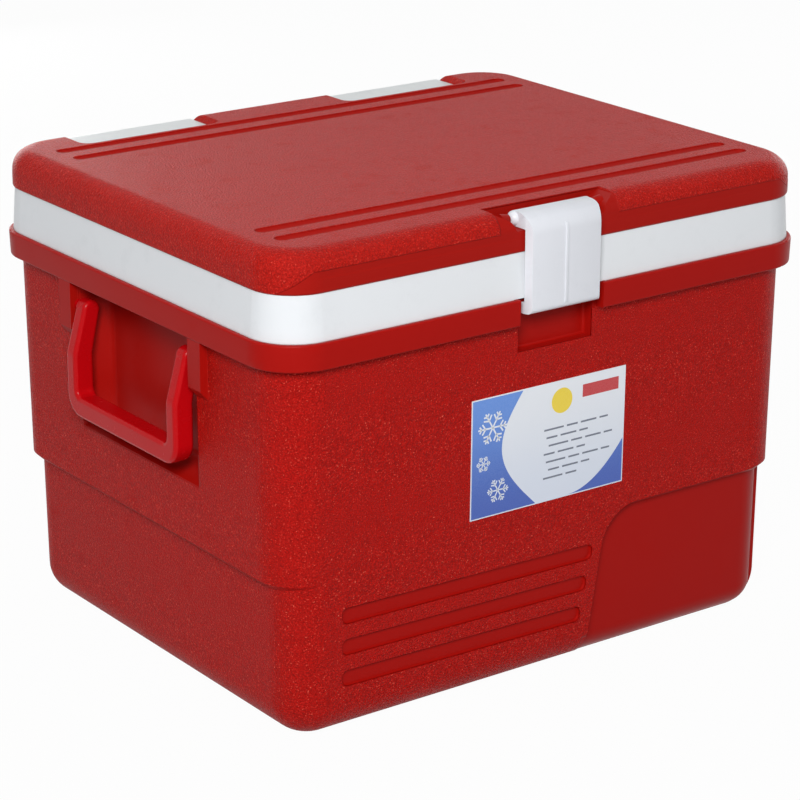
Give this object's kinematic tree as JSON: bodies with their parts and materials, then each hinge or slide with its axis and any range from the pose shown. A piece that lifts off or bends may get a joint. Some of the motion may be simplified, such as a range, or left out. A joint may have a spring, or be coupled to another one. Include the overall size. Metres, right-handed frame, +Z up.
{
  "type": "insulated ice box",
  "caption": "Insulated plastic cold box with a hinged double-wall lid, a swing latch on the front, a fold-down bail handle at each end and a louvred front panel.",
  "frame": {"origin": "middle of the base, on the plane that the box stands on", "axes": "+X to the right of someone facing the latch, -Y towards that person, +Z up"},
  "size_m": [0.442, 0.3679, 0.321],
  "materials": {
    "body_red": "matte",
    "lid_red": "matte",
    "handle_red": "satin",
    "white_plastic": "satin",
    "liner_white": "satin",
    "foam": "matte",
    "label": "gloss",
    "steel": "satin"
  },
  "bodies": {
    "body": {"body_shell": "body_red", "body_foam": "foam", "body_liner": "liner_white", "front_label": "label", "hinge_base_left": "white_plastic", "hinge_base_right": "white_plastic", "hinge_base_screws": "steel"},
    "lid": {"lid_cover": "lid_red", "lid_pan": "white_plastic", "lid_foam": "foam", "hinge_leaf_left": "white_plastic", "hinge_leaf_right": "white_plastic", "hinge_leaf_screws": "steel", "hinge_pin_left": "steel", "hinge_pin_right": "steel", "latch_pin": "steel"},
    "latch": {"latch": "white_plastic"},
    "handle_left": {"handle_left": "handle_red"},
    "handle_right": {"handle_right": "handle_red"}
  },
  "joints": [
    {"name": "lid_hinge", "type": "hinge", "parent": "body", "child": "lid", "pos_m": [0, 0.1824, 0.26555], "axis": [-1, 0, 0], "range_deg": [0, 100]},
    {"name": "latch_pivot", "type": "hinge", "parent": "lid", "child": "latch", "pos_m": [0, -0.1617, 0.3146], "axis": [-1, 0, 0], "range_deg": [0, 90]},
    {"name": "handle_left_pivot", "type": "hinge", "parent": "body", "child": "handle_left", "pos_m": [-0.2064, 0, 0.232], "axis": [0, 1, 0], "range_deg": [0, 88]},
    {"name": "handle_right_pivot", "type": "hinge", "parent": "body", "child": "handle_right", "pos_m": [0.2064, 0, 0.232], "axis": [0, -1, 0], "range_deg": [0, 88]}
  ]
}
